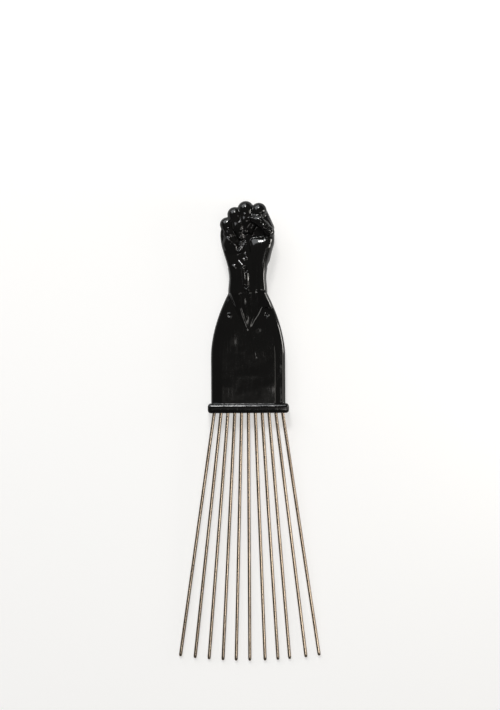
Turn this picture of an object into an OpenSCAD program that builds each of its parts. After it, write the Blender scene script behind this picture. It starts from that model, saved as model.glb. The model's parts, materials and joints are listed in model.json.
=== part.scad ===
// Afro pick: a fan of round steel tines moulded into a plastic handle that ends in a raised fist.
// It lies on its back. X runs across it, Y from the tine tips to the fist, and Z up to the viewer.
// It rests at z = 0 on the tine tips and on the knuckles at the back of the hand.

/* [Tines] */
// Number of tines in the fan
tine_count = 11; // [7:1:13]
// Diameter of the tine wire
tine_d = 1.7; // [1.4:0.1:2]
// Length of the middle tine that stands out of the collar
tine_len = 129.5; // [100:0.5:150]
// Distance between neighbouring tines at the collar's mouth
tine_pitch = 3.56; // [3.4:0.02:4.2]
// Angle between neighbouring tines
fan_step = 1.656; // [1.2:0.004:2]
// How much less the outermost tines stand out than the middle one
fan_drop = 1.2; // [0:0.1:4]
// Length of the short taper behind the rounded tip
tip_len = 0.4; // [0.3:0.1:3]
// Radius of the rounded end of the tip
tip_r = 0.65; // [0.4:0.05:0.7]
// Length of wire that is moulded into the handle
buried_len = 16; // [12:0.5:20]
// Width of the flattened stretch that keeps the wire from pulling out
crimp_w = 2.4; // [2.1:0.1:3]
// Thickness of the flattened stretch
crimp_t = 1.1; // [0.9:0.1:1.3]
// Length of the flattened stretch
crimp_len = 3; // [2:0.1:4]
// Length of round wire beyond the flattened stretch, at the buried end
crimp_end = 2.5; // [1:0.1:4]

/* [Collar] */
// Height of the collar bar, measured along the handle
collar_h = 4.9; // [4:0.1:8]
// Thickness of the collar, front to back
collar_t = 9.6; // [8.6:0.1:12]
// Plastic between the outermost tine and the collar's end
collar_end = 2.45; // [2:0.05:5]
// How far the collar stands out past the paddle's sides
collar_ledge = 1.8; // [1.2:0.1:3]
// Radius of the collar's long edges
collar_edge_r = 1.4; // [0.8:0.1:1.9]
// Radius of the collar's four corners, seen from the front
collar_corner_r = 1.6; // [0.8:0.1:1.9]

/* [Paddle] */
// Length of the straight-sided paddle, from the collar's mouth
paddle_len = 29.5; // [24:0.5:45]
// Thickness of the paddle at its flat panel
paddle_t = 7; // [6.4:0.1:8]
// Radius of the paddle's rounded edge
paddle_edge_r = 2.3; // [1.6:0.1:3]
// Width of the sloped band between the rounded edge and the flat panel
bevel_w = 3.2; // [2:0.1:6]
// Outer diameter of the two raised ring marks
mark_d = 2.7; // [2.2:0.1:3.4]
// Width of a ring mark's rim
mark_rim = 0.5; // [0.3:0.05:0.7]
// How far a ring mark stands above the panel
mark_rise = 0.3; // [0.2:0.05:0.6]
// Depth of a ring mark's dimple below the panel
mark_dip = 0.4; // [0.2:0.05:1]

/* [Arm] */
// Length of the shoulder, where the paddle draws in to the forearm
shoulder_len = 33; // [26:0.5:45]
// Power of the shoulder's curve, where 1 is straight and more is fuller
shoulder_power = 1.8; // [1.3:0.1:2.6]
// Width of the forearm at the top of the shoulder
arm_w = 19.9; // [18:0.1:24]
// Width of the wrist at its narrowest
wrist_w = 18.9; // [16:0.1:20]
// Distance from the top of the shoulder to the narrowest part of the wrist
arm_len = 7.5; // [5:0.5:20]
// Thickness of the forearm, front to back
arm_t = 12.4; // [11:0.1:14]
// How far the forearm's relief runs down over the paddle before it ends in a point
arm_tail = 19; // [12:0.5:28]

/* [Fist] */
// Distance from the narrowest part of the wrist to the middle of the fist
hand_len = 22.4; // [18:0.2:28]
// Width of the fist at its middle
fist_w = 28.1; // [25:0.1:32]
// Thickness of the fist's core, front to back, under the fingers
fist_core_t = 11; // [10:0.1:13]
// Depth that the fingers and the thumb reach in front of the parting line
fist_front = 9.2; // [8.4:0.1:10.5]
// Depth that the back of the hand reaches behind the parting line
fist_back = 8.6; // [7.8:0.1:10]
// Softness of the hollows between the fingers
crease_blend = 1.2; // [0.6:0.1:2]

/* [Hidden] */
overrun = 1;
tine_r = tine_d / 2;
fan_middle = (tine_count + 1) / 2;
// Small leans that hand setting left in the fan, one angle for each tine from left to right
tine_leans = [0, 0.2, 0.23, 0.25, 0.07, 0, 0.3, 0.06, -0.44, 0.13, 0];
wire_faces = 32;
tip_arc_steps = 5;

collar_w = (tine_count - 1) * tine_pitch + tine_d + 2 * collar_end;
paddle_w = collar_w - 2 * collar_ledge;
shoulder_top = paddle_len + shoulder_len;
wrist_up = shoulder_top + arm_len;
fist_up = wrist_up + hand_len;
fist_r = fist_w / 2;
hand_start = wrist_up - fist_r / 2;
mark_up_share = 0.645;
mark_out_share = 0.64;
// How thin the slab gets under the forearm, as a share of its thickness
slab_end_share = 0.2;
// How quickly the forearm's relief widens from its point, where 1 is evenly
tail_power = 0.7;
// How square the forearm's section is, where 2 is an ellipse
arm_squareness = 4;

// The four finger joints along the top of the fist, from the little finger to the index finger.
// Each is [x, y, radius] in shares of the fist's half width, from the middle of the fist.
knuckle_shares = [
    [-0.747, 0.391, 0.249],
    [-0.459, 0.762, 0.259],
    [-0.056, 0.975, 0.281],
    [0.441, 0.904, 0.263],
];

// Rounded forms on the palm side. Each runs from one [x, y, depth, radius] to another, where the
// depth is a share of the fist's front depth and the rest are shares of its half width.
palm_shares = [
    // Little finger, then its tucked end
    [[-0.747, 0.391, 0.62, 0.249], [-0.62, -0.10, 0.78, 0.235]],
    [[-0.62, -0.10, 0.78, 0.235], [-0.44, -0.24, 0.66, 0.20]],
    // Ring finger, then its tucked end
    [[-0.459, 0.762, 0.66, 0.259], [-0.29, 0.02, 0.86, 0.24]],
    [[-0.29, 0.02, 0.86, 0.24], [-0.21, -0.24, 0.70, 0.20]],
    // Middle finger, with its tucked end under the thumb
    [[-0.056, 0.975, 0.66, 0.281], [0.02, 0.46, 0.80, 0.25]],
    [[0.02, 0.46, 0.80, 0.25], [0.06, 0.10, 0.66, 0.19]],
    // Index finger, with its tucked end under the thumb, and its side along the edge of the hand
    [[0.441, 0.904, 0.66, 0.263], [0.34, 0.56, 0.72, 0.24]],
    [[0.34, 0.56, 0.72, 0.24], [0.32, 0.12, 0.62, 0.20]],
    [[0.441, 0.904, 0.58, 0.263], [0.82, 0.30, 0.56, 0.20]],
    // Thumb from its tip to its joint, and on to the ball of the hand
    [[0.19, 0.56, 0.98, 0.185], [0.72, 0.24, 1, 0.22]],
    [[0.72, 0.24, 1, 0.22], [0.70, -0.14, 0.90, 0.27]],
    // Ball of the thumb
    [[0.46, -0.30, 1, 0.45], [0.40, -0.88, 0.76, 0.42]],
    // Heel of the hand on the little finger's side
    [[-0.68, -0.12, 0.72, 0.31], [-0.42, -0.90, 0.74, 0.33]],
];

// Rounded forms on the back of the hand, as above but in shares of the fist's back depth
back_shares = [
    // Knuckles and the bones of the hand, from the little finger to the index finger
    [[-0.62, 0.32, 0.95, 0.24], [-0.28, -1.05, 0.72, 0.24]],
    [[-0.22, 0.48, 0.98, 0.25], [-0.10, -1.05, 0.74, 0.24]],
    [[0.20, 0.56, 1, 0.26], [0.10, -1.05, 0.74, 0.24]],
    [[0.60, 0.46, 0.98, 0.25], [0.30, -1.05, 0.72, 0.24]],
    // First finger bones, from the knuckles to the joints along the top
    [[-0.62, 0.32, 0.95, 0.24], [-0.747, 0.391, 0.60, 0.249]],
    [[-0.22, 0.48, 0.98, 0.25], [-0.459, 0.762, 0.60, 0.259]],
    [[0.20, 0.56, 1, 0.26], [-0.056, 0.975, 0.60, 0.281]],
    [[0.60, 0.46, 0.98, 0.25], [0.441, 0.904, 0.60, 0.263]],
    // Bone of the thumb along the edge of the hand
    [[0.76, -0.05, 0.62, 0.22], [0.44, -1.0, 0.60, 0.26]],
];

// Steps of the handle's surface, along each stretch of the outline and from its middle line out
start_up = collar_h / 2;
paddle_steps = 3;
shoulder_steps = 10;
arm_steps = 3;
hand_steps = 16;
crown_steps = 66;
across_steps = 16;

// Tilt at which the tine tips and the middle knuckle of the back both touch the floor
rest_up = tine_len + fist_up + back_shares[2][0][1] * fist_r;
rest_depth = back_shares[2][0][2] * fist_back;
rest_r = back_shares[2][0][3] * fist_r;
tip_up = tip_len + tip_r;
rest_run = rest_up - tip_up;
rest_fall = rest_depth - rest_r - tine_r;
rest_tilt = atan2(rest_fall, rest_run) + asin(rest_r / norm([rest_run, rest_fall]));
rest_lift = tine_r * cos(rest_tilt) - tip_up * sin(rest_tilt);
middle_y = (tine_len + fist_up + (knuckle_shares[2][1] + knuckle_shares[2][2]) * fist_r)
    / 2 * cos(rest_tilt);

function tine_name(i) = str("tine_", i < 10 ? "0" : "", i);
function tine_x(i) = (i - fan_middle) * tine_pitch;
function tine_angle(i) =
    (i - fan_middle) * fan_step + tine_leans[(i - 1) % len(tine_leans)];
function tine_out(i) = tine_len - fan_drop * pow(abs(i - fan_middle) / (fan_middle - 1), 2);

function mix(a, b, t) = a + (b - a) * t;
function limit(t) = max(0, min(1, t));
function ease(t) = let (u = limit(t)) u * u * (3 - 2 * u);
function soft_max(a, b, k) =
    let (near = max(0, k - abs(a - b))) max(a, b) + near * near / (4 * k);
function soft_top(heights, k, i = 0) =
    i == len(heights) - 1 ? heights[i] : soft_max(heights[i], soft_top(heights, k, i + 1), k);

// Half width of the handle at a height above the collar's mouth, up to the middle of the fist
function half_w(y) =
    y < paddle_len ? paddle_w / 2
    : y < shoulder_top
        ? mix(paddle_w, arm_w, pow((y - paddle_len) / shoulder_len, shoulder_power)) / 2
    : y < wrist_up ? mix(arm_w, wrist_w, ease((y - shoulder_top) / arm_len)) / 2
    : mix(wrist_w, fist_w, ease((y - wrist_up) / hand_len)) / 2;

// How far the top of the fist reaches from its middle at an angle: its core or a finger joint
function joint_reach(k, a) =
    let (
        along = k[0] * cos(a) + k[1] * sin(a),
        aside = k[0] * sin(a) - k[1] * cos(a),
        room = k[2] * k[2] - aside * aside
    )
    room < 0 ? 0 : (along + sqrt(room)) * fist_r;
function crown_reach(a) = max([fist_r, for (k = knuckle_shares) joint_reach(k, a)]);

// Height of a rounded form above the parting line at a place on the hand
function form_top(form, depth, x, y) =
    let (
        a = form[0],
        b = form[1],
        run = [b[0] - a[0], b[1] - a[1]],
        here = [x / fist_r - a[0], (y - fist_up) / fist_r - a[1]],
        t = limit(here * run / (run * run)),
        r = mix(a[3], b[3], t),
        off = norm(here - t * run) / r
    )
    off < 1 ? mix(a[2], b[2], t) * depth * sqrt(1 - off * off) : 0;

// Rounding of an edge, from 0 at the outline to 1 at the given depth inside it
function round_off(inside, r) = inside < r ? sqrt(1 - pow(1 - inside / r, 2)) : 1;

// The paddle's slab: a rounded edge, a sloped band and a flat panel, thinner up the arm
function slab_top(y, inside) =
    (paddle_edge_r * round_off(inside, paddle_edge_r)
        + (paddle_t / 2 - paddle_edge_r) * ease((inside - paddle_edge_r) / bevel_w))
    * mix(1, slab_end_share, ease((y - paddle_len - shoulder_len / 2) / (shoulder_len / 2 + arm_len)));

// The forearm's rounded relief, which tapers to a point on the paddle, and the hand's core
function core_top(x, y, share) =
    let (
        tail = limit((y - shoulder_top + arm_tail) / arm_tail),
        thick = y < wrist_up
            ? mix(paddle_t, arm_t, ease(tail))
            : mix(arm_t, fist_core_t, ease((y - wrist_up) / hand_len)),
        off = tail <= 0 ? 1 : tail < 1 ? abs(x) / (arm_w / 2 * pow(tail, tail_power)) : share
    )
    off < 1 ? thick / 2 * pow(1 - pow(off, arm_squareness), 1 / arm_squareness) : 0;

function surface_top(forms, depth, x, y, share, inside) =
    let (
        tops = y > hand_start ? [for (f = forms) form_top(f, depth, x, y)] : [0],
        hand = soft_top(tops, crease_blend) * round_off(inside, paddle_edge_r)
    )
    soft_top([slab_top(y, inside), core_top(x, y, share), hand], crease_blend)
        * round_off(inside, tine_r);

// Heights of the rows along one side of the handle, from inside the collar to the fist's middle
side_rows = [
    for (i = [0:paddle_steps - 1]) mix(start_up, paddle_len, i / paddle_steps),
    for (i = [0:shoulder_steps - 1]) paddle_len + shoulder_len * i / shoulder_steps,
    for (i = [0:arm_steps - 1]) shoulder_top + arm_len * i / arm_steps,
    for (i = [0:hand_steps]) wrist_up + hand_len * i / hand_steps,
];
row_count = len(side_rows);

// The outline, up the left side, round the fist and down the right side. Each entry is
// [a point of the middle line, the outline's point].
rim = [
    for (y = side_rows) [[0, y], [-half_w(y), y]],
    for (i = [1:crown_steps - 1])
        let (a = 180 - 180 * i / crown_steps)
            [[0, fist_up], [0, fist_up] + crown_reach(a) * [cos(a), sin(a)]],
    for (i = [row_count - 1:-1:0]) [[0, side_rows[i]], [half_w(side_rows[i]), side_rows[i]]],
];
rim_count = len(rim);

function surface_point(t, k, forms, depth, side) =
    let (
        share = (k / across_steps + sin(90 * k / across_steps)) / 2,
        here = mix(rim[t][0], rim[t][1], share),
        inside = norm(rim[t][1] - here)
    )
    [here[0], here[1], side * surface_top(forms, depth, here[0], here[1], share, inside)];

// Points of one face of the handle: its middle line, then a ring of points for each step out
function face_points(forms, depth, side) = [
    for (t = [0:row_count - 1]) surface_point(t, 0, forms, depth, side),
    for (k = [1:across_steps - 1])
        for (t = [0:rim_count - 1]) surface_point(t, k, forms, depth, side),
];
face_size = row_count + (across_steps - 1) * rim_count;

// Number of a point: the front face comes first, then the back face and the outline
function point_id(back, k, t) =
    k == 0 ? (back ? face_size : 0) + min(t, rim_count - 1 - t, row_count - 1)
    : k == across_steps ? 2 * face_size + t
    : (back ? face_size : 0) + row_count + (k - 1) * rim_count + t;

function face_triangles(back) = [
    for (k = [0:across_steps - 1])
        for (t = [0:rim_count - 2])
            let (
                a = point_id(back, k, t),
                b = point_id(back, k + 1, t),
                c = point_id(back, k + 1, t + 1),
                d = point_id(back, k, t + 1)
            )
            each [back ? [a, c, b] : [a, b, c], if (a != d) back ? [a, d, c] : [a, c, d]],
];

function end_triangles(t, turned) = [
    for (k = [0:across_steps - 1])
        let (
            a = point_id(false, k, t),
            b = point_id(false, k + 1, t),
            c = point_id(true, k + 1, t),
            d = point_id(true, k, t)
        )
        each [if (b != c) turned ? [a, c, b] : [a, b, c], turned ? [a, d, c] : [a, c, d]],
];

module hand_and_paddle() {
    polyhedron(
        points = concat(
            face_points(palm_shares, fist_front, 1),
            face_points(back_shares, fist_back, -1),
            [for (r = rim) [r[1][0], r[1][1], 0]]
        ),
        faces = concat(
            face_triangles(false),
            face_triangles(true),
            end_triangles(0, true),
            end_triangles(rim_count - 1, false)
        ),
        convexity = 6
    );
}

// A rectangle about the origin with rounded corners
module rounded_rectangle(w, h, r) {
    offset(r, $fn = wire_faces)
        square([w - 2 * r, h - 2 * r], center = true);
}

module collar_bar() {
    translate([0, collar_h / 2, 0])
        intersection() {
            linear_extrude(collar_t, center = true)
                rounded_rectangle(collar_w, collar_h, collar_corner_r);
            rotate([90, 0, 0])
                linear_extrude(collar_h, center = true)
                    rounded_rectangle(collar_w, collar_t, collar_edge_r);
            rotate([90, 0, 90])
                linear_extrude(collar_w, center = true)
                    rounded_rectangle(collar_h, collar_t, collar_edge_r);
        }
}

module at_marks() {
    y = paddle_len + mark_up_share * shoulder_len;
    for (side = [-1, 1])
        translate([side * mark_out_share * half_w(y), y, 0])
            children();
}

// The part of a tine inside the handle, which its socket repeats, along +Z from the mouth
module buried_wire(below = 0) {
    translate([0, 0, -below])
        cylinder(d = tine_d, h = buried_len + below, $fn = wire_faces);
    translate([-crimp_t / 2, -crimp_w / 2, buried_len - crimp_end - crimp_len])
        cube([crimp_t, crimp_w, crimp_len]);
}

// The part of a tine outside the handle, along -Z from the mouth, with a tapered, rounded tip
module exposed_wire(out) {
    rotate_extrude($fn = wire_faces)
        polygon([
            [0, 0],
            [tine_r, 0],
            [tine_r, tip_up - out],
            for (i = [0:tip_arc_steps - 1])
                let (a = 90 * i / tip_arc_steps) [tip_r * cos(a), tip_r - out - tip_r * sin(a)],
            [0, -out],
        ]);
}

// Turns a tine's own axis onto its place in the fan, in the plane of the handle
module at_tine(i) {
    translate([tine_x(i), 0, 0])
        rotate([-90, 0, tine_angle(i)])
            children();
}

// Lays the pick down so that it rests on its tips and the back of the hand
module laid_down() {
    translate([0, -middle_y, rest_lift])
        rotate([rest_tilt, 0, 0])
            translate([0, tine_len, 0])
                children();
}

module handle() {
    color("#1c1c1e")
        laid_down()
            difference() {
                union() {
                    hand_and_paddle();
                    collar_bar();
                    at_marks()
                        cylinder(d = mark_d, h = paddle_t / 2 + mark_rise, $fn = wire_faces);
                }
                at_marks()
                    translate([0, 0, paddle_t / 2 - mark_dip])
                        cylinder(d = mark_d - 2 * mark_rim, h = mark_dip + overrun,
                            $fn = wire_faces);
                for (i = [1:tine_count])
                    at_tine(i)
                        buried_wire(overrun);
            }
}

module tine(i) {
    color("#b5a68f")
        laid_down()
            at_tine(i) {
                buried_wire();
                exposed_wire(tine_out(i));
            }
}

handle();
for (i = [1:tine_count])
    tine(i);
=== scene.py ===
import json
import math

import bpy
import numpy as np
from mathutils import Matrix, Vector

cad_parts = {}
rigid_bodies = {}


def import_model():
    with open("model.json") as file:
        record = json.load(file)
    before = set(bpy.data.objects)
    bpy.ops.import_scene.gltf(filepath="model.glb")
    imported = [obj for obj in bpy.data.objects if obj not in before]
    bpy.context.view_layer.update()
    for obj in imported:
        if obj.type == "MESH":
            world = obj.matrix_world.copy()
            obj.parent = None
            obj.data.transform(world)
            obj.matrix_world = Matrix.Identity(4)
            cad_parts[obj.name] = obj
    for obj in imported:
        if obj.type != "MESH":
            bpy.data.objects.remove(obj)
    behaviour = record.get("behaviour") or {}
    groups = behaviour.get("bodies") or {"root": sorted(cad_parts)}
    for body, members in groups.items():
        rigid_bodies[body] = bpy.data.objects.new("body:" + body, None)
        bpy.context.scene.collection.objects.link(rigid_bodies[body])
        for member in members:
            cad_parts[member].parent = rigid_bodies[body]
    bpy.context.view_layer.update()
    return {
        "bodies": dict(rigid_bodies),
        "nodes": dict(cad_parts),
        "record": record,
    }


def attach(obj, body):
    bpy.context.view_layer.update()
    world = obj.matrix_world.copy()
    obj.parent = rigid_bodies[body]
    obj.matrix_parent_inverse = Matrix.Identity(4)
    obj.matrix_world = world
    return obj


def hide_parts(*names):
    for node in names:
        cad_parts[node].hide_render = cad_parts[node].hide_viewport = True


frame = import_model()
millimetre = 0.001
print("frame loaded:", len(frame["nodes"]), "nodes")

# The camera looks straight down at the pick, as it lies on its back.
camera = {
    "distance": 1.6,  # metres above the pick
    "lookAt": (0.0010, 0.0398, 0.006),
    "metresPerPixel": 0.00052,
    "picture": (500, 710),
    "roll": -0.32,  # degrees
    "sensor": 36.0,
    "clip": (0.05, 20),  # metres
}


def makeCamera():
    height = camera["picture"][1] * camera["metresPerPixel"]
    data = bpy.data.cameras.new("camera")
    data.sensor_width = camera["sensor"]
    data.lens = camera["sensor"] * camera["distance"] / height
    data.clip_start, data.clip_end = camera["clip"]
    eye = bpy.data.objects.new("camera", data)
    eye.location = Vector(camera["lookAt"]) + Vector((0, 0, camera["distance"]))
    eye.rotation_euler = (0, 0, math.radians(camera["roll"]))
    bpy.context.scene.collection.objects.link(eye)
    bpy.context.scene.camera = eye


makeCamera()
bpy.context.scene.view_settings.view_transform = "Standard"
print("camera made")

# Sizes of the moulded handle in millimetres: x across it, y up from the collar's mouth, z out of
# the palm side, and 0 at the mould's parting line.
collar = {
    "width": 42.2,
    "height": 4.9,
    "thickness": 9.6,
    "rounding": 1.8,
    "endRounding": 1.6,  # of the four corners seen from the front
}
paddle = {
    "width": 38.6,
    "length": 29.5,
    "foot": 1.5,  # where it starts inside the collar
    "overlap": 5.0,  # how far it runs on past the wrist, inside the arm
    "edgeRadius": 2.5,
    "bandDepth": 3.28,  # half thickness where the sloped band ends
    "panelDepth": 3.5,  # half thickness of the flat panel
    "borderInset": 5.2,
    "borderWidth": 0.35,
    "ledgeTop": 51.0,
    "ledgeFade": 8.0,  # length over which the panel's ledge dies out
}
# Shallow swells and sinks that moulding leaves in the panel: across, up, width, length, rise
waves = [
    (0, 22, 8, 9, -0.10),
    (-7.4, 41.3, 2.6, 5.0, 0.17),
    (5.4, 45.7, 2.2, 3.0, 0.20),
    (-11.5, 13.5, 4.2, 3.4, 0.09),
    (10.5, 14, 4.5, 3.4, 0.09),
    (0, 20, 8, 2.0, 0.06),
]
arm = {
    "shoulderTop": 62.5,
    "shoulderPower": 1.8,
    "width": 19.9,
    "wristUp": 70.0,
    "wristWidth": 18.9,
    "depth": 6.2,
    "boxiness": 5.0,  # 2 is a round section, and more is squarer
    "tail": 19.0,  # length of the taper below the shoulder
    "tailTip": 0.7,  # half width of the taper's end
    "tailInset": 0.3,  # how much narrower than the arm the taper starts
    "tailPower": 0.8,
    "tailSink": 0.8,  # how far the taper's end lies below the panel
}
ringMarks = {
    "out": 9.63,
    "up": 50.8,
    "radius": 1.12,
    "wire": 0.28,  # radius of the raised rim's own section
    "rise": 0.15,
    "dish": 1.3,  # radius of the ball that the dimple is cut with
    "dishUp": 0.85,  # height of that ball's middle above the skin
    "blend": 0.15,
    "reach": 3.0,
}
fist = {
    "up": 92.4,
    "halfWidth": 14.05,
    "depth": 5.5,
    "palmDepth": 4.3,
}
# Where the forms of the handle start along it, and how soft their joins are
joins = {
    "paddlePast": 8.0,  # above the wrist
    "coreFrom": 40.0,
    "handFrom": 55.0,
    "collar": 0.2,
    "core": 1.0,
    "hand": 0.2,
}
farAway = 50.0  # stands for any distance too large to matter


def ease(t):
    t = np.clip(t, 0, 1)
    return t * t * (3 - 2 * t)


def mix(a, b, t):
    return a + (b - a) * t


def softMin(a, b, k):
    return np.minimum(a, b) - np.maximum(k - np.abs(a - b), 0) ** 2 / (4 * k)


def softMax(a, b, k):
    return -softMin(-a, -b, k)


def roundedCorner(a, b):
    return np.hypot(np.maximum(a, 0), np.maximum(b, 0)) + np.minimum(np.maximum(a, b), 0)


# 0 at the wrist and 1 at the middle of the fist
def towardsFist(y):
    return ease((y - arm["wristUp"]) / (fist["up"] - arm["wristUp"]))


def halfWidth(y):
    shoulder = np.clip((y - paddle["length"]) / (arm["shoulderTop"] - paddle["length"]), 0, 1)
    width = mix(paddle["width"], arm["width"], shoulder ** arm["shoulderPower"])
    neck = ease((y - arm["shoulderTop"]) / (arm["wristUp"] - arm["shoulderTop"]))
    width = mix(width, arm["wristWidth"], neck)
    return mix(width / 2, fist["halfWidth"], towardsFist(y))


# Distance to a rounded bar between two points whose radius changes evenly along it
def bar(p, start, end, startRadius, endRadius):
    start, run = np.array(start), np.array(end) - np.array(start)
    t = np.clip((p - start) @ run / (run @ run), 0, 1)
    return np.linalg.norm(p - start - t[:, None] * run, axis=1) - mix(startRadius, endRadius, t)


def slabField(p):
    x, y, z = p.T
    step = 0.05
    slope = (halfWidth(y + step) - halfWidth(y - step)) / (2 * step)
    side = (halfWidth(y) - np.abs(x)) / np.sqrt(1 + slope ** 2)
    ends = np.minimum(y - paddle["foot"], arm["wristUp"] + paddle["overlap"] - y)
    inside = np.minimum(side, ends)
    radius = paddle["edgeRadius"]
    band = np.clip((side - radius) / (paddle["borderInset"] - radius), 0, 1)
    half = mix(radius, paddle["bandDepth"], band)
    ledge = ease((side - paddle["borderInset"]) / paddle["borderWidth"])
    ledge = ledge * ease((paddle["ledgeTop"] - y) / paddle["ledgeFade"])
    half = half + (paddle["panelDepth"] - paddle["bandDepth"]) * ledge
    for out, up, wide, tall, rise in waves:
        half = half + rise * np.exp(-(((x - out) / wide) ** 2) - ((y - up) / tall) ** 2)
    return np.hypot(np.maximum(radius - inside, 0), z) - half


def collarField(p):
    r, end = collar["rounding"], collar["endRounding"]
    middle = np.array([0, collar["height"] / 2, 0])
    halves = np.array([collar["width"], collar["height"], collar["thickness"]]) / 2
    q = np.abs(p - middle) - halves
    plan = roundedCorner(q[:, 0] + end, q[:, 1] + end) - end
    return roundedCorner(plan + r, q[:, 2] + r) - r


# The round core of the forearm, wrist and fist, which tapers to a point on the paddle
def coreField(p):
    x, y, z = p.T
    leastSize, leastSlope = 0.05, 0.02  # keep the divisions apart from 0
    tailEnd = arm["shoulderTop"] - arm["tail"]
    tail = np.clip((y - tailEnd) / arm["tail"], 0, 1)
    tapered = mix(arm["tailTip"], arm["width"] / 2 - arm["tailInset"], tail ** arm["tailPower"])
    wide = np.where(y < arm["shoulderTop"], tapered, halfWidth(y))
    deep = mix(paddle["panelDepth"] - arm["tailSink"], arm["depth"], tail)
    fistDeep = np.where(z > 0, fist["palmDepth"], fist["depth"])
    deep = mix(deep, fistDeep, towardsFist(y))
    top = np.maximum(y - fist["up"], 0)
    below = np.maximum(tailEnd - y, 0)
    u, v, w = x / wide, top / fist["halfWidth"], np.abs(z) / deep
    n = arm["boxiness"]
    flat = np.sqrt(u ** 2 + v ** 2)
    size = (flat ** n + w ** n) ** (1 / n)
    slope = np.hypot(flat ** (n - 1) / wide, w ** (n - 1) / deep)
    slope = slope / np.maximum(size, leastSize) ** (n - 1)
    return (size - 1) / np.maximum(slope, leastSlope) + below


# Each finger runs from the knuckle at the back over the top of the fist to its tucked tip. The
# places are measured from the middle of the fist, with a radius last.
fingers = {
    "index": [
        (8.2, 6.4, -5.1, 3.1),
        (6.0, 12.7, 2.6, 3.75),
        (3.7, 7.4, 3.7, 2.9),
        (1.7, 3.9, 4.2, 2.0),
        (2.0, 1.2, 3.5, 1.5),
    ],
    "middle": [
        (2.8, 7.9, -5.3, 3.1),
        (-0.8, 13.45, 2.3, 3.95),
        (-0.7, 7.6, 3.8, 3.2),
        (-1.3, 2.2, 3.9, 2.1),
    ],
    "ring": [
        (-3.1, 6.7, -5.2, 3.1),
        (-6.45, 10.7, 2.1, 3.64),
        (-5.0, 4.2, 3.7, 3.1),
        (-3.4, -0.8, 3.8, 2.1),
    ],
    "little": [
        (-8.7, 4.4, -5.0, 3.1),
        (-10.5, 5.5, 1.5, 3.5),
        (-9.2, 0.6, 2.7, 2.9),
        (-6.8, -2.8, 3.2, 1.9),
    ],
}
# The rest of the hand, given in the same way
hand = {
    "indexSide": [(6.2, 12.7, 0.4, 3.7), (10.9, 3.6, -0.4, 3.1)],
    "thumb": [
        (3.3, 8.1, 6.4, 1.9),
        (5.8, 7.6, 6.5, 2.2),
        (8.6, 5.0, 6.3, 2.3),
        (11.4, 1.5, 5.2, 2.6),
    ],
    "thumbRoot": [(11.4, 1.5, 4.7, 2.5), (10.0, -4.0, 0.8, 3.2), (8.0, -12.0, 0.2, 3.6)],
    "heel": [(-9.2, -4.8, 1.9, 4.2), (-5.2, -15, -0.2, 4.3)],
    "heelRidge": [
        (-11.8, 0.0, 1.9, 1.9),
        (-9.6, -2.4, 4.2, 1.5),
        (-6.6, -5.0, 4.5, 1.2),
        (-5.0, -9.6, 3.7, 1.2),
    ],
    "backLean": 0.42,  # how far out a bone of the back ends, as a share of its knuckle's place
    "backEnd": (-16, -2.9, 2.6),  # its place up and its depth there, and its radius
}
# Softness of each join of the hand in millimetres
blends = {
    "crease": 0.6,  # between fingers
    "joint": 1.0,
    "thumbJoint": 1.2,
    "rootJoint": 2.0,
    "back": 1.8,
    "heelRidge": 1.8,
    "thumbRoot": 1.5,
    "palm": 0.12,  # where the ball of the thumb meets the palm
    "thumb": 0.5,
    "fold": 0.3,
}
thenar = {
    "left": 0.3,
    "top": -1.2,
    "floor": -1.5,
    "sideInset": 0.3,
    "crown": (8.3, -6.6, 7.2),  # its highest place
    "curve": (20.0, 9.0),  # radii across and up from the crown
    "fall": 0.02,  # slope towards the wrist
    "end": -28.4,
    "endFall": 0.25,
    "edge": (3.5, 1.6, 1.0),  # softness of the left side, of the top and of the floor
    "roll": (2.4, 4.0),  # softness of the outer side at the wrist and at the fist
    "rollFrom": -24.0,
    "rollLength": 14.0,
}
# Folds of the palm's skin, as round bars between two places with a radius last
folds = [
    ((-4.5, -13.5, 4.35), (-2.6, -15.8, 5.45), 1.3),
    ((-2.9, -6.3, 4.25), (-4.25, -8.35, 5.0), 1.0),
    ((-0.8, -25.8, 5.2), (-0.75, -28.0, 6.08), 1.0),
]


# The ball of the thumb, which runs down into the forearm: a smooth dome with a straight left side
def thenarField(p):
    x, y, z = p.T
    out, up, high = thenar["crown"]
    wideCurve, tallCurve = thenar["curve"]
    leftEdge, topEdge, floorEdge = thenar["edge"]
    above, below = np.maximum(y - up, 0), np.maximum(up - y, 0)
    dome = high - (x - out) ** 2 / (2 * wideCurve) - above ** 2 / (2 * tallCurve)
    dome = dome - thenar["fall"] * below - thenar["endFall"] * np.maximum(thenar["end"] - y, 0)
    steep = np.hypot(1, above / tallCurve)
    side = x - halfWidth(y + fist["up"]) + thenar["sideInset"]
    roll = mix(*thenar["roll"], ease((y - thenar["rollFrom"]) / thenar["rollLength"]))
    skin = softMax((z - dome) / steep, side, roll)
    skin = softMax(skin, thenar["left"] - x, leftEdge)
    skin = softMax(skin, y - thenar["top"], topEdge)
    return softMax(skin, thenar["floor"] - z, floorEdge)


def chain(p, joints, blend):
    field = None
    for a, b in zip(joints, joints[1:]):
        bone = bar(p, a[:3], b[:3], a[3], b[3])
        field = bone if field is None else softMin(field, bone, blend)
    return field


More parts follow.
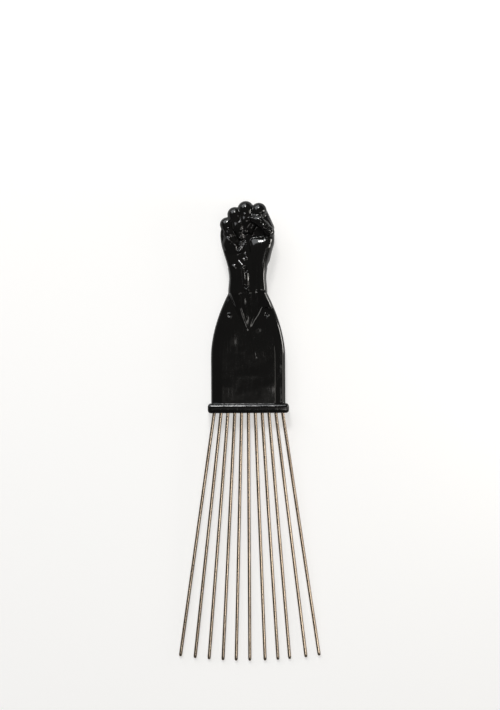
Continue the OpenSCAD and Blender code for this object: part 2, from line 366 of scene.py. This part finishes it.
def handField(p):
    p = p - np.array([0, fist["up"], 0])
    backUp, backOut, backRadius = hand["backEnd"]
    field = chain(p, hand["indexSide"], blends["joint"])
    for joints in fingers.values():
        field = softMin(field, chain(p, joints, blends["joint"]), blends["crease"])
        knuckle, radius = joints[0][:3], joints[0][3]
        back = bar(p, knuckle, (knuckle[0] * hand["backLean"], backUp, backOut), radius, backRadius)
        field = softMin(field, back, blends["back"])
    root = chain(p, hand["thumbRoot"], blends["rootJoint"])
    ball = softMin(thenarField(p), root, blends["thumbRoot"])
    heel = chain(p, hand["heel"], blends["joint"])
    heel = softMin(heel, chain(p, hand["heelRidge"], blends["joint"]), blends["heelRidge"])
    field = softMin(field, heel, blends["crease"])
    field = softMin(field, ball, blends["palm"])
    field = softMin(field, chain(p, hand["thumb"], blends["thumbJoint"]), blends["thumb"])
    for start, end, radius in folds:
        field = softMin(field, bar(p, start, end, radius, radius), blends["fold"])
    return field


# Fine lines that the mould leaves on the palm side: the points across and up, the radius, and how
# far the line stands proud of the skin, or how deep it is cut where that is negative.
armLines = [
    ([(-4.7, 66), (-4.3, 54.5), (-2.5, 49), (-0.4, 43.6)], 0.7, 0.38),
    ([(-1.7, 59), (-0.5, 47.6)], 0.6, 0.30),
    ([(0.1, 72), (0.9, 60), (1.6, 52.5)], 0.6, 0.30),
    ([(8.3, 64), (4.3, 53.5), (1.0, 44.8)], 0.7, 0.18),
    ([(4.2, 78), (3.9, 60)], 0.9, 0.12),
    ([(6.6, 78), (6.5, 60)], 0.9, 0.12),
    ([(1.2, 44.5), (2.4, 37), (4.0, 29)], 0.6, 0.16),
]
# The same on the hand, measured up from the middle of the fist
handLines = [
    ([(-12.2, 0.6), (-10.0, -1.8), (-8.8, -2.9), (-6.7, -4.6), (-5.2, -9.2)], 0.6, 0.25),
    ([(-0.9, -3.7), (-4.2, -8.4)], 0.6, 0.5),
    ([(-3.1, -3.5), (-3.7, -5.4)], 0.5, 0.4),
    ([(-4.2, -1.4), (-3.4, -2.1), (-2.4, -1.9)], 0.5, 0.35),
    ([(-1.0, -9.7), (-0.6, -11.5)], 0.6, 0.35),
    ([(-1.2, -17.0), (-0.85, -26.6)], 0.75, -0.60),
    ([(-2.4, -17.6), (-1.75, -25.4)], 1.0, 1.0),
    ([(-0.35, -19.5), (-0.4, -25.8)], 0.75, 0.75),
    ([(1.4, 9.1), (3.0, 9.3)], 0.6, 0.45),
    ([(6.9, 9.7), (9.3, 6.3), (13.0, 3.1)], 0.55, 0.35),
    ([(4.5, 5.8), (7.6, 3.8), (10.9, 2.7)], 0.55, 0.35),
]
# Small bumps of the skin: the place across and up from the fist's middle, and the width
bumps = [
    (-9.8, 8.0, 0.6), (-9.8, 3.4, 0.6), (-4.6, 10.3, 0.5), (-3.7, 6.8, 0.6), (-3.0, 4.5, 0.5),
    (-3.7, 3.0, 0.8), (-4.3, 0.6, 0.5), (-1.4, 10.8, 0.6), (6.3, 11.3, 0.7), (1.9, 8.6, 0.7),
    (-0.4, 1.3, 0.5), (2.0, 1.2, 0.8), (6.7, 7.6, 0.5), (8.3, 4.8, 0.6), (10.9, 2.3, 0.8),
    (11.75, 0.4, 0.7), (9.9, -1.5, 0.7), (-9.3, -2.8, 0.9), (-6.7, -5.0, 0.6),
    (-0.6, -11.9, 0.7), (-1.0, -10.1, 0.5), (-1.9, -12.6, 0.5), (-6.9, -16.3, 0.9),
]
relief = {
    "bumpRise": 0.55,  # share of a bump's width
    "bumpReach": 2.5,  # in widths of the bump
    "skinReach": 3.0,  # how near the skin a point lies to be changed
    "lineReach": 2.0,  # the same, across a line
    "endFade": 5.0,  # an arm line dies out over one part in this many of its length
    "softness": 0.6,  # of a raised line's foot, as a share of its radius
    "cutSoftness": 0.4,
}


# Adds one fine line to a field. The line follows the skin: ground is the distance to that.
def traced(field, p, ground, points, radius, rise, fade):
    around, place = np.full(len(p), farAway), np.zeros(len(p))
    total = sum(math.dist(start, end) for start, end in zip(points, points[1:]))
    done = 0
    for start, end in zip(points, points[1:]):
        start, run = np.array(start), np.array(end) - np.array(start)
        along = np.clip((p[:, :2] - start) @ run / (run @ run), 0, 1)
        off = np.linalg.norm(p[:, :2] - start - along[:, None] * run, axis=1)
        length = math.hypot(*run)
        place = np.where(off < around, (done + along * length) / total, place)
        around = np.minimum(around, off)
        done += length
    if not fade and rise < 0:
        cut = radius - np.hypot(around, ground - radius - rise)
        return softMax(field, cut, radius * relief["cutSoftness"])
    if fade:
        rise = rise * ease(relief["endFade"] * np.minimum(place, 1 - place))
    ridge = np.hypot(around, ground + radius - rise) - radius
    return softMin(field, ridge, radius * relief["softness"])


def ringMarkField(p, ground, side):
    wire = ringMarks["wire"]
    around = np.hypot(p[:, 0] - side * ringMarks["out"], p[:, 1] - ringMarks["up"])
    ground = np.where(p[:, 2] > 0, ground, farAway)
    ring = np.hypot(around - ringMarks["radius"], ground + wire - ringMarks["rise"]) - wire
    dish = np.hypot(around, ground - ringMarks["dishUp"]) - ringMarks["dish"]
    return ring, dish


def handleField(p):
    x, y, z = p.T
    field = np.full(len(p), farAway)
    low = y < arm["wristUp"] + joins["paddlePast"]
    field[low] = softMin(slabField(p[low]), collarField(p[low]), joins["collar"])
    mid = y > joins["coreFrom"]
    field[mid] = softMin(field[mid], coreField(p[mid]), joins["core"])
    high = y > joins["handFrom"]
    field[high] = softMin(field[high], handField(p[high]), joins["hand"])
    skin = field.copy()
    nearSkin = (z > 0) & (np.abs(skin) < relief["skinReach"])
    for lines, offset, fade in ((armLines, 0, True), (handLines, fist["up"], False)):
        for points, radius, rise in lines:
            points = [np.array([out, up + offset]) for out, up in points]
            least = np.min(points, axis=0) - relief["lineReach"]
            most = np.max(points, axis=0) + relief["lineReach"]
            near = nearSkin & (x > least[0]) & (x < most[0]) & (y > least[1]) & (y < most[1])
            field[near] = traced(field[near], p[near], skin[near], points, radius, rise, fade)
    for out, up, wide in bumps:
        gap = np.hypot(x - out, y - up - fist["up"])
        near = nearSkin & (gap < relief["bumpReach"] * wide)
        field[near] -= relief["bumpRise"] * wide * np.exp(-(gap[near] / wide) ** 2)
    near = np.abs(y - ringMarks["up"]) < ringMarks["reach"]
    marks = field[near]
    ground = marks.copy()
    for side in (-1, 1):
        ring, dish = ringMarkField(p[near], ground, side)
        marks = softMin(softMax(marks, -dish, ringMarks["blend"]), ring, ringMarks["blend"])
    field[near] = marks
    return field


# Steps of the grid that the handle is meshed on, in millimetres, and where they change
grid = {
    "quickFactor": 2.0,
    "outerStep": 0.55,
    "handStep": 0.33,
    "armStep": 0.429,
    "paddleStep": 0.6,
    "markStep": 0.17,
    "markMargin": 0.5,
    "across": (14.5, 21.7),  # half width of the hand and of all
    "along": (-0.6, 6, 60, 111.4),  # below the collar, above it, at the shoulder, above the fist
    "deep": (-9.4, 9.9),
    "aroundPanel": (0.3, 0.5),  # how far finer steps reach past the panel at the back and the front
    "parts": 40,  # the grid is worked out in this many parts
    "rounds": 2,
}


def gridLines(stretches):
    coarse = 1
    lines = []
    for start, end, step in stretches:
        count = max(1, round((end - start) / step / coarse))
        lines += [start + (end - start) * i / count for i in range(count)]
    return np.array(lines + [stretches[-1][1]])


def symmetric(stretches):
    return [(-b, -a, step) for a, b, step in reversed(stretches)] + stretches


# One point per cell that the surface crosses, and one four-sided face per crossed grid edge
def netOf(xs, ys, zs):
    knots = np.stack(np.meshgrid(xs, ys, zs, indexing="ij"), axis=-1).reshape(-1, 3)
    values = np.concatenate([handleField(part) for part in np.array_split(knots, grid["parts"])])
    values = values.reshape(len(xs), len(ys), len(zs))
    solid = values < 0
    shape = tuple(n - 1 for n in values.shape)
    corners = [(i, j, k) for i in (0, 1) for j in (0, 1) for k in (0, 1)]
    shifted = [solid[i:i + shape[0], j:j + shape[1], k:k + shape[2]] for i, j, k in corners]
    full = sum(part.astype(np.int8) for part in shifted)
    cells = np.argwhere((full > 0) & (full < len(corners)))
    number = np.full(shape, -1)
    number[tuple(cells.T)] = np.arange(len(cells))
    total, count = np.zeros((len(cells), 3)), np.zeros(len(cells))
    lines = (xs, ys, zs)
    for a in corners:
        for axis in range(3):
            if a[axis]:
                continue
            b = tuple(c + (n == axis) for n, c in enumerate(a))
            at, to = cells + a, cells + b
            va, vb = values[tuple(at.T)], values[tuple(to.T)]
            cut = (va < 0) != (vb < 0)
            t = (va / np.where(cut, va - vb, 1))[:, None]
            pa = np.stack([lines[n][at[:, n]] for n in range(3)], axis=1)
            pb = np.stack([lines[n][to[:, n]] for n in range(3)], axis=1)
            total[cut] += (pa + (pb - pa) * t)[cut]
            count[cut] += 1
    faces = []
    for axis in range(3):
        u, v = (axis + 1) % 3, (axis + 2) % 3
        a = np.moveaxis(solid, axis, 0)
        edges = np.argwhere(a[:-1] != a[1:])
        at = np.zeros_like(edges)
        rest = [n for n in range(3) if n != axis]
        at[:, axis], at[:, rest[0]], at[:, rest[1]] = edges.T
        ring = []
        for du, dv in ((-1, -1), (0, -1), (0, 0), (-1, 0)):
            cell = at.copy()
            cell[:, u] += du
            cell[:, v] += dv
            ring.append(number[tuple(cell.T)])
        quad = np.stack(ring, axis=1)
        out = solid[tuple(at.T)]
        faces.append(np.where(out[:, None], quad, quad[:, ::-1]))
    return total / count[:, None], np.concatenate(faces)


def slopeOf(points):
    step = 0.004
    steps = step * np.eye(3)
    rises = [handleField(points + move) - handleField(points - move) for move in steps]
    return np.stack(rises, axis=1) / (2 * step)


# Moves the points along the surface's slope until they lie on it
def settle(points, rounds):
    leastSteep, longestMove = 0.05, 0.3
    for _ in range(rounds):
        slope = slopeOf(points)
        steep = np.maximum((slope ** 2).sum(axis=1), leastSteep)
        move = (handleField(points) / steep)[:, None] * slope
        points = points - np.clip(move, -longestMove, longestMove)
    return points


# Evens out the spacing of the points without leaving the surface
def relax(points, faces):
    share, tiny = 0.7, 1e-6
    ends = np.concatenate([faces[:, [n, (n + 1) % 4]] for n in range(4)])
    ends = np.concatenate([ends, ends[:, ::-1]])
    near = np.bincount(ends[:, 0], minlength=len(points))
    sums = [np.bincount(ends[:, 0], points[ends[:, 1], n], len(points)) for n in range(3)]
    move = np.stack(sums, axis=1) / near[:, None] - points
    slope = slopeOf(points)
    out = slope / np.maximum(np.linalg.norm(slope, axis=1), tiny)[:, None]
    return points + share * (move - (move * out).sum(axis=1)[:, None] * out)


# Where the handle lies in the frame, from the collar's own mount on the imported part
def handlePlace():
    back = next(m for m in frame["record"]["mounts"] if m["name"] == "collar_back_face")
    turn = Matrix.Rotation(math.atan2(back["axis"][1], -back["axis"][2]), 4, "X")
    onCollar = Vector((0, collar["height"] / 2, -collar["thickness"] / 2)) * millimetre
    shift = Matrix.Translation(Vector(back["pos_m"]) - turn @ onCollar)
    return shift @ turn @ Matrix.Scale(millimetre, 4)


def meshFrom(name, points, faces):
    mesh = bpy.data.meshes.new(name)
    mesh.vertices.add(len(points))
    mesh.vertices.foreach_set("co", np.asarray(points, np.float32).ravel())
    mesh.loops.add(faces.size)
    mesh.loops.foreach_set("vertex_index", faces.astype(np.int32).ravel())
    mesh.polygons.add(len(faces))
    mesh.polygons.foreach_set("loop_start", np.arange(0, faces.size, faces.shape[1], dtype=np.int32))
    mesh.update(calc_edges=True)
    mesh.validate()
    mesh.shade_smooth()
    piece = bpy.data.objects.new(name, mesh)
    bpy.context.scene.collection.objects.link(piece)
    return piece


def makeHandle():
    fine, coarse, mark = grid["handStep"], grid["outerStep"], grid["markStep"]
    reach = ringMarks["radius"] + grid["markMargin"]
    left, right = ringMarks["out"] - reach, ringMarks["out"] + reach
    handHalf, fullHalf = grid["across"]
    across = symmetric([
        (0, left, fine), (left, right, mark), (right, handHalf, fine), (handHalf, fullHalf, coarse),
    ])
    under, over = ringMarks["up"] - reach, ringMarks["up"] + reach
    foot, collarTop, shoulder, top = grid["along"]
    along = [
        (foot, collarTop, fine), (collarTop, under, grid["paddleStep"]), (under, over, mark),
        (over, shoulder, grid["armStep"]), (shoulder, top, fine),
    ]
    panel = paddle["panelDepth"]
    pastBack, pastFront = grid["aroundPanel"]
    lowest, highest = grid["deep"]
    deep = [
        (lowest, -panel - pastBack, fine), (-panel - pastBack, panel - pastFront, coarse),
        (panel - pastFront, panel + pastFront, mark), (panel + pastFront, highest, fine),
    ]
    points, faces = netOf(gridLines(across), gridLines(along), gridLines(deep))
    points = settle(points, grid["rounds"])
    for _ in range(grid["rounds"]):
        points = settle(relax(points, faces), 1)
    points = settle(points, grid["rounds"])
    place = np.array(handlePlace())
    return meshFrom("handleBody", points @ place[:3, :3].T + place[:3, 3], faces)


handleBody = makeHandle()
print("handle meshed:", len(handleBody.data.polygons), "faces")

# Sizes of the drawn wire in millimetres
tine = {
    "radius": 0.85,
    "bevel": 1.3,  # length of the rounded end
    "endRadius": 0.3,  # radius of the flat at the very tip
    "sides": 28,
    "rings": 36,
    "ringPower": 3.0,  # how strongly the rings crowd towards the tip
    "buried": 17.2,
    "clear": 2.0,  # kept from the collar's mouth where the solid's direction is measured
    "tipLength": 1.0,
    "tipGap": 0.03,  # how far inside its solid a wire ends
}


# The tip and the lean of each tine, measured on its CAD solid
def tinePlaces():
    inverse = handlePlace().inverted()
    places = []
    for name in sorted(n for n in frame["nodes"] if n.startswith("tine_")):
        points = np.array([inverse @ v.co for v in frame["nodes"][name].data.vertices])
        wire = points[points[:, 1] < -tine["clear"]]
        end = wire[wire[:, 1] < wire[:, 1].min() + tine["tipLength"]].mean(axis=0)
        mouth = points[points[:, 1] > tine["clear"]].mean(axis=0)
        run = mouth - end
        run /= np.linalg.norm(run)
        tip = end + run * (((points - end) @ run).min() + tine["tipGap"])
        places.append((tip, math.atan2(run[0], run[1])))
    return places


class Tree:
    # Adds nodes to one node tree: the settings are made first, then the sockets
    def __init__(self, nodes):
        self.nodes = nodes

    def add(self, kind, settings=None, **sockets):
        node = self.nodes.nodes.new(kind)
        for key, value in (settings or {}).items():
            setattr(node, key, value)
        for key, value in sockets.items():
            self.feed(self.socketOf(node, key.replace("_", " ")), value)
        return node

    def socketOf(self, node, key):
        if key.isdigit():
            return node.inputs[int(key)]
        return next(s for s in node.inputs if s.enabled and s.name == key)

    def feed(self, socket, value):
        if isinstance(value, Value):
            value = value.socket
        if isinstance(value, bpy.types.NodeSocket):
            self.nodes.links.new(value, socket)
        else:
            socket.default_value = value


class Value:
    # A number in a node tree that adds Math nodes as it is worked with
    def __init__(self, tree, socket):
        self.tree, self.socket = tree, socket

    def maths(self, operation, a, b=0.0, clamp=False):
        node = self.tree.nodes.nodes.new("ShaderNodeMath")
        node.operation, node.use_clamp = operation, clamp
        self.tree.feed(node.inputs[0], a)
        self.tree.feed(node.inputs[1], b)
        return Value(self.tree, node.outputs[0])

    def __add__(self, other):
        return self.maths("ADD", self, other)

    def __sub__(self, other):
        return self.maths("SUBTRACT", self, other)

    def __rsub__(self, other):
        return self.maths("SUBTRACT", other, self)

    def __mul__(self, other):
        return self.maths("MULTIPLY", self, other)

    def __truediv__(self, other):
        return self.maths("DIVIDE", self, other)

    def __pow__(self, other):
        return self.maths("POWER", self, other)

    def clamped(self):
        return self.maths("ADD", self, 0.0, clamp=True)

    __radd__ = __add__
    __rmul__ = __mul__


def tineTree():
    group = bpy.data.node_groups.new("drawnWires", "GeometryNodeTree")
    tree = Tree(group)
    face = group.interface
    face.new_socket("Geometry", in_out="INPUT", socket_type="NodeSocketGeometry")
    for name in ("Wire Radius", "Wire Length", "Bevel", "End Radius", "Ring Power"):
        face.new_socket(name, in_out="INPUT", socket_type="NodeSocketFloat")
    for name in ("Sides", "Rings"):
        face.new_socket(name, in_out="INPUT", socket_type="NodeSocketInt")
    face.new_socket("Finish", in_out="INPUT", socket_type="NodeSocketMaterial")
    face.new_socket("Geometry", in_out="OUTPUT", socket_type="NodeSocketGeometry")
    inputs = {s.name: s for s in tree.add("NodeGroupInput").outputs if s.name}
    radius, bevel = Value(tree, inputs["Wire Radius"]), Value(tree, inputs["Bevel"])
    endRadius, length = Value(tree, inputs["End Radius"]), Value(tree, inputs["Wire Length"])

    line = tree.add("GeometryNodeMeshLine", Count=inputs["Rings"])
    ring = Value(tree, tree.add("GeometryNodeInputIndex").outputs[0])
    share = ring / (Value(tree, inputs["Rings"]) - 1)
    along = length * share ** Value(tree, inputs["Ring Power"])
    spot = tree.add("ShaderNodeCombineXYZ", Y=along)
    line = tree.add("GeometryNodeSetPosition", Geometry=line.outputs[0], Position=spot.outputs[0])
    curve = tree.add("GeometryNodeMeshToCurve", Mesh=line.outputs[0])
    fall = 1 - (along / bevel).clamped()
    grow = (1 - fall * fall) ** 0.5
    thick = endRadius + (radius - endRadius) * grow
    profile = tree.add("GeometryNodeCurvePrimitiveCircle", Resolution=inputs["Sides"], Radius=1.0)
    wire = tree.add("GeometryNodeSetCurveRadius", Curve=curve.outputs[0], Radius=thick)
    wire = tree.add(
        "GeometryNodeCurveToMesh", Curve=wire.outputs[0], Profile_Curve=profile.outputs[0], Fill_Caps=True
    )
    if "Scale" in wire.inputs:
        tree.feed(wire.inputs["Scale"], thick)
    here = tree.add("GeometryNodeInputPosition")
    wire = tree.add(
        "GeometryNodeStoreNamedAttribute", {"data_type": "FLOAT_VECTOR", "domain": "POINT"},
        Geometry=wire.outputs[0], Name="wirePlace", Value=here.outputs[0],
    )
    lean = tree.add("GeometryNodeInputNamedAttribute", {"data_type": "FLOAT"}, Name="lean")
    turn = tree.add("ShaderNodeCombineXYZ", Z=lean.outputs[0])
    spread = tree.add(
        "GeometryNodeInstanceOnPoints",
        Points=inputs["Geometry"], Instance=wire.outputs[0], Rotation=turn.outputs[0],
    )
    number = tree.add("GeometryNodeInputIndex")
    spread = tree.add(
        "GeometryNodeStoreNamedAttribute", {"data_type": "FLOAT", "domain": "INSTANCE"},
        Geometry=spread.outputs[0], Name="wireNumber", Value=number.outputs[0],
    )
    real = tree.add("GeometryNodeRealizeInstances", Geometry=spread.outputs[0])
    done = tree.add("GeometryNodeSetMaterial", Geometry=real.outputs[0], Material=inputs["Finish"])
    tree.add("NodeGroupOutput", Geometry=done.outputs[0])
    return group


def makeTines(finish):
    places = tinePlaces()
    mesh = bpy.data.meshes.new("tineFan")
    mesh.from_pydata([tip * millimetre for tip, _ in places], [], [])
    lean = mesh.attributes.new("lean", "FLOAT", "POINT")
    lean.data.foreach_set("value", [-angle for _, angle in places])
    fan = bpy.data.objects.new("tineFan", mesh)
    bpy.context.scene.collection.objects.link(fan)
    grow = fan.modifiers.new("wires", "NODES")
    grow.node_group = tineTree()
    sizes = {
        "Wire Radius": tine["radius"] * millimetre,
        "Wire Length": (tine["buried"] - min(tip[1] for tip, _ in places)) * millimetre,
        "Bevel": tine["bevel"] * millimetre,
        "End Radius": tine["endRadius"] * millimetre,
        "Ring Power": tine["ringPower"],
        "Sides": tine["sides"],
        "Rings": tine["rings"],
        "Finish": finish,
    }
    for item in grow.node_group.interface.items_tree:
        if item.in_out == "INPUT" and item.name in sizes:
            grow[item.identifier] = sizes[item.name]
    fan.update_tag()
    graph = bpy.context.evaluated_depsgraph_get()
    solid = bpy.data.meshes.new_from_object(fan.evaluated_get(graph))
    fan.modifiers.clear()
    fan.data = solid
    solid.transform(handlePlace() @ Matrix.Scale(1 / millimetre, 4))
    solid.polygons.foreach_set("use_smooth", [len(face.vertices) == 4 for face in solid.polygons])
    return fan


def shaderOf(name):
    material = bpy.data.materials.new(name)
    material.use_nodes = True
    material.node_tree.nodes.clear()
    return material, Tree(material.node_tree)


def colourBetween(tree, share, first, second):
    node = tree.add("ShaderNodeMix", {"data_type": "RGBA"}, **{"0": share, "6": first, "7": second})
    return node.outputs[2]


# Noise stretched along the axes of the place that it is read at
def streaks(tree, place, stretch, detail, turn=0.0):
    place = tree.add("ShaderNodeMapping", Vector=place, Rotation=(0, 0, turn), Scale=stretch)
    noise = tree.add("ShaderNodeTexNoise", Vector=place.outputs[0], Scale=1.0, Detail=detail)
    return Value(tree, noise.outputs[0])


# Glossy black moulded plastic with soft flow marks, fine handling scratches and dust
plastic = {
    "colour": (0.0042, 0.0040, 0.0036, 1),
    "worn": (0.010, 0.0095, 0.009, 1),
    "wear": (0.5, 0.3),  # how much of it the scratches and the broad patches show
    "roughness": (0.05, 0.13),
    "scratchRoughness": 0.10,
    "refraction": 1.5,
    "waves": 0.35,
    "waveDepth": 0.0006,
    "patchScale": 70.0,
    "patchShare": 0.6,  # of the roughness, and the flow marks make the rest
    "flowStretch": (260, 60, 260),
    "flowHeight": 0.25,
    "dustScale": 2400.0,
    "dustHeight": 0.012,
    "scratchStretch": (3000, 90, 900),
    "scratchTurn": 0.6,
    "scratchLevel": 0.62,  # noise above this is a scratch
    "scratchContrast": 6,
    "scratchDepth": 0.03,
}


def makePlastic():
    material, tree = shaderOf("glossBlackPlastic")
    place = tree.add("ShaderNodeTexCoord").outputs["Object"]
    patch = tree.add("ShaderNodeTexNoise", Vector=place, Scale=plastic["patchScale"], Detail=2.0)
    dust = tree.add("ShaderNodeTexNoise", Vector=place, Scale=plastic["dustScale"], Detail=2.0)
    patch, dust = Value(tree, patch.outputs[0]), Value(tree, dust.outputs[0])
    flow = streaks(tree, place, plastic["flowStretch"], 3.0)
    scratch = streaks(tree, place, plastic["scratchStretch"], 1.0, plastic["scratchTurn"])
    scratch = ((scratch - plastic["scratchLevel"]) * plastic["scratchContrast"]).clamped()
    low, high = plastic["roughness"]
    share = plastic["patchShare"]
    mottle = patch * share + flow * (1 - share)
    rough = low + (high - low) * mottle + scratch * plastic["scratchRoughness"]
    scratchWear, patchWear = plastic["wear"]
    worn = (scratch * scratchWear + patch * patchWear).clamped()
    colour = colourBetween(tree, worn, plastic["colour"], plastic["worn"])
    height = patch + flow * plastic["flowHeight"] + dust * plastic["dustHeight"]
    height = height - scratch * plastic["scratchDepth"]
    bump = tree.add(
        "ShaderNodeBump", Strength=plastic["waves"], Distance=plastic["waveDepth"], Height=height
    )
    shader = tree.add(
        "ShaderNodeBsdfPrincipled", Base_Color=colour, Roughness=rough, Normal=bump.outputs[0],
        IOR=plastic["refraction"],
    )
    tree.add("ShaderNodeOutputMaterial", Surface=shader.outputs[0])
    return material


# Drawn steel wire with a warm plating: fine lines along it, and darker stains
steel = {
    "colour": (0.64, 0.535, 0.42, 1),
    "stain": (0.34, 0.26, 0.20, 1),
    "edge": (0.35, 0.30, 0.25, 1),  # tint at a grazing angle
    "roughness": (0.14, 0.26),
    "drawnShare": 0.7,  # of the roughness, and the stains make the rest
    "drawnStretch": (5200, 24, 5200),
    "drawnHeight": (0.18, 0.0001),  # strength and depth of the fine lines
    "stainStretch": (420, 60, 420),
    "stainLevel": 0.5,
    "stainContrast": 1.6,
    "stainLeast": 0.18,
    "shift": 0.37,  # metres from one wire's pattern to the next
}


def makeSteel():
    material, tree = shaderOf("drawnWarmSteel")
    wirePlace = tree.add("ShaderNodeAttribute", {"attribute_name": "wirePlace"})
    number = tree.add("ShaderNodeAttribute", {"attribute_name": "wireNumber"})
    offset = tree.add("ShaderNodeCombineXYZ", X=Value(tree, number.outputs["Fac"]) * steel["shift"])
    place = tree.add(
        "ShaderNodeVectorMath", {"operation": "ADD"},
        **{"0": wirePlace.outputs["Vector"], "1": offset.outputs[0]},
    )
    drawn = streaks(tree, place.outputs[0], steel["drawnStretch"], 3.0)
    stain = streaks(tree, place.outputs[0], steel["stainStretch"], 4.0)
    stained = (stain - steel["stainLevel"]) * steel["stainContrast"] + steel["stainLeast"]
    colour = colourBetween(tree, stained.clamped(), steel["colour"], steel["stain"])
    low, high = steel["roughness"]
    share = steel["drawnShare"]
    rough = low + (high - low) * (drawn * share + stain * (1 - share))
    strength, depth = steel["drawnHeight"]
    bump = tree.add("ShaderNodeBump", Strength=strength, Distance=depth, Height=drawn)
    shader = tree.add(
        "ShaderNodeBsdfPrincipled", Base_Color=colour, Roughness=rough, Metallic=1.0,
        Specular_Tint=steel["edge"], Normal=bump.outputs[0],
    )
    tree.add("ShaderNodeOutputMaterial", Surface=shader.outputs[0])
    return material


handleBody.data.materials.append(makePlastic())
tineFan = makeTines(makeSteel())
print("tines made:", len(tineFan.data.polygons), "faces")

studio = {
    "tableSize": 8.0,
    "tableColour": (0.47, 0.465, 0.46, 1),
    "tableGlow": (1.0, 0.992, 0.975, 1),
    "glowStrength": 0.58,  # added where the camera looks at the table itself
    "mirrorShare": 0.15,  # share of that glow in reflections
    "room": 0.06,
    "beyond": 0.96,  # what the camera sees past the table
}
# The lamps round the table: the angle round it from the right, the tilt from straight above, how
# far away from its aim each is, the size in metres, and the brightness, where 1 is a white card
lamps = {
    "key": {
        "aim": (0, 0.05, 0), "around": 98, "tilt": 42, "away": 1.1,
        "size": (0.17, 0.21), "bright": 48, "colour": (1, 0.99, 0.97),
    },
    "upperLeft": {
        "aim": (0, 0.05, 0), "around": 117, "tilt": 58, "away": 1.2,
        "size": (1.0, 1.3), "bright": 2.8, "colour": (0.95, 0.98, 1),
    },
    "overWires": {
        "aim": (0.36, -0.06, 0), "around": -90, "tilt": 7.8, "away": 1.2,
        "size": (0.24, 0.58), "bright": 3.5, "colour": (1, 0.97, 0.93),
    },
    "wireSide": {
        "aim": (0.12, -0.06, 0), "around": 0, "tilt": 60, "away": 1.3,
        "size": (0.75, 0.30), "bright": 1.6, "colour": (1, 0.95, 0.88),
    },
    "nearWrist": {
        "aim": (0, 0.085, 0), "around": 0, "tilt": 76, "away": 0.30,
        "size": (0.11, 0.08), "bright": 12, "colour": (1, 0.97, 0.92),
    },
    "card": {
        "aim": (0, 0.05, 0), "around": -90, "tilt": 7, "away": 1.2,
        "size": (0.036, 0.6), "bright": 0.22, "colour": (1, 0.95, 0.88),
    },
}


def makeTable():
    reach = studio["tableSize"] / 2
    corners = [(-reach, -reach, 0), (reach, -reach, 0), (reach, reach, 0), (-reach, reach, 0)]
    mesh = bpy.data.meshes.new("table")
    mesh.from_pydata(corners, [], [(0, 1, 2, 3)])
    table = bpy.data.objects.new("table", mesh)
    bpy.context.scene.collection.objects.link(table)
    material, tree = shaderOf("whiteTable")
    path = tree.add("ShaderNodeLightPath").outputs
    mirrored = Value(tree, path["Is Glossy Ray"]) * studio["mirrorShare"]
    seen = Value(tree, path["Is Camera Ray"]) + mirrored
    lit = tree.add("ShaderNodeBsdfDiffuse", Color=studio["tableColour"])
    strength = seen * studio["glowStrength"]
    glow = tree.add("ShaderNodeEmission", Color=studio["tableGlow"], Strength=strength)
    both = tree.add("ShaderNodeAddShader", **{"0": lit.outputs[0], "1": glow.outputs[0]})
    tree.add("ShaderNodeOutputMaterial", Surface=both.outputs[0])
    mesh.materials.append(material)


def makeRoom():
    world = bpy.data.worlds.new("room")
    bpy.context.scene.world = world
    world.use_nodes = True
    world.node_tree.nodes.clear()
    tree = Tree(world.node_tree)
    seen = Value(tree, tree.add("ShaderNodeLightPath").outputs["Is Camera Ray"])
    strength = studio["room"] + (studio["beyond"] - studio["room"]) * seen
    glow = tree.add("ShaderNodeBackground", Color=(1, 1, 1, 1), Strength=strength)
    tree.add("ShaderNodeOutputWorld", Surface=glow.outputs[0])


def makeLamp(name, aim, around, tilt, away, size, bright, colour):
    data = bpy.data.lights.new(name, "AREA")
    data.shape = "RECTANGLE"
    data.size, data.size_y = size
    data.energy = bright * math.pi * size[0] * size[1]
    data.color = colour
    lamp = bpy.data.objects.new(name, data)
    turn = Matrix.Rotation(math.radians(around), 4, "Z")
    turn = turn @ Matrix.Rotation(math.radians(tilt), 4, "Y")
    lamp.matrix_world = Matrix.Translation(aim) @ turn @ Matrix.Translation((0, 0, away))
    bpy.context.scene.collection.objects.link(lamp)


makeTable()
makeRoom()
for name, lamp in lamps.items():
    makeLamp(name, **lamp)
print("studio lit")

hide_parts("handle")
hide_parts(*[n for n in frame["nodes"] if n.startswith("tine_")])
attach(handleBody, list(frame["bodies"])[0])
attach(tineFan, list(frame["bodies"])[0])
